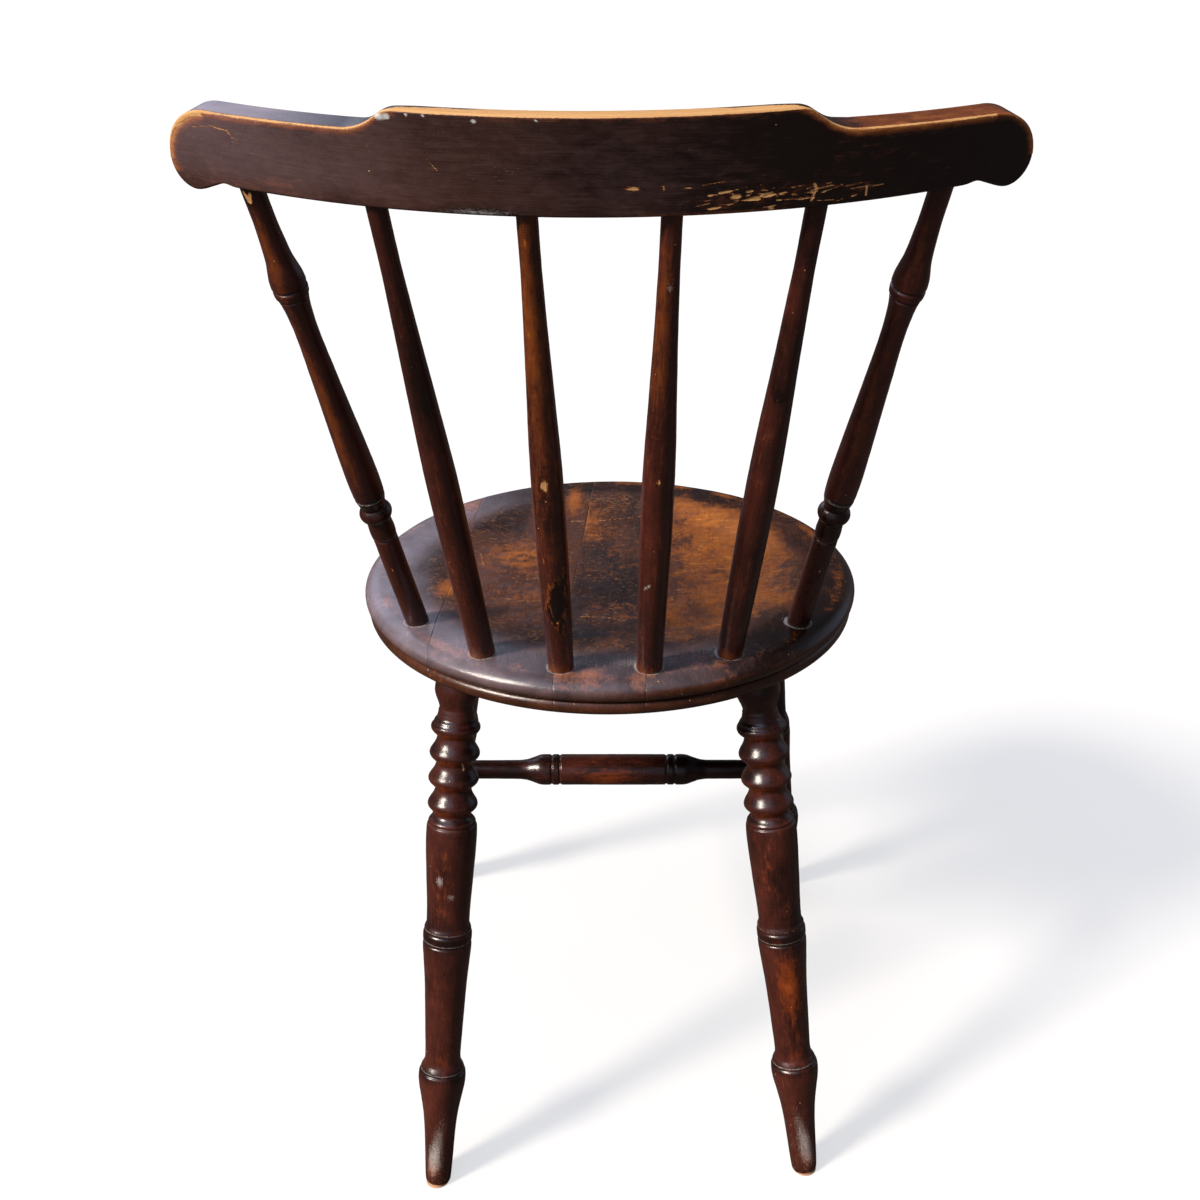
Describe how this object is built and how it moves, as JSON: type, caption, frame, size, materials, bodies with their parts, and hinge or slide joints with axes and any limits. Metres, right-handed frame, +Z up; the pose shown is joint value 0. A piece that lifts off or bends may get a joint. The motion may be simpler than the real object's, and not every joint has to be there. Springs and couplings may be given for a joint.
{
  "type": "round-seat spindle-back wooden chair",
  "caption": "Worn dark-stained kitchen chair with a round boarded seat, turned bobbin legs, an H stretcher and a bent crest rail on turned spindles and posts.",
  "frame": {"origin": "on the floor, under the middle of the overall width and depth", "axes": "+Z up, the front of the chair faces -Y, the sitter's left is +X"},
  "size_m": [0.476, 0.4911, 0.8321],
  "materials": {
    "seat_wood": "amber to dark brown stain under old varnish, worn and scratched",
    "crest_wood": "near-black brown varnish, worn to bare wood along its edges",
    "spindle_wood": "dark red-brown varnish with chips",
    "leg_wood": "dark red-brown glossy varnish, rubbed at the feet"
  },
  "bodies": {
    "root": {"seat_board_right": "seat_wood", "seat_board_middle": "seat_wood", "seat_board_left": "seat_wood", "seat_board_left_edge": "seat_wood", "crest_rail": "crest_wood", "back_post_left": "spindle_wood", "back_post_right": "spindle_wood", "back_spindle_outer_left": "spindle_wood", "back_spindle_inner_left": "spindle_wood", "back_spindle_inner_right": "spindle_wood", "back_spindle_outer_right": "spindle_wood", "leg_front_left": "leg_wood", "leg_front_right": "leg_wood", "leg_rear_left": "leg_wood", "leg_rear_right": "leg_wood", "side_stretcher_left": "leg_wood", "side_stretcher_right": "leg_wood", "cross_stretcher": "leg_wood"}
  },
  "joints": []
}
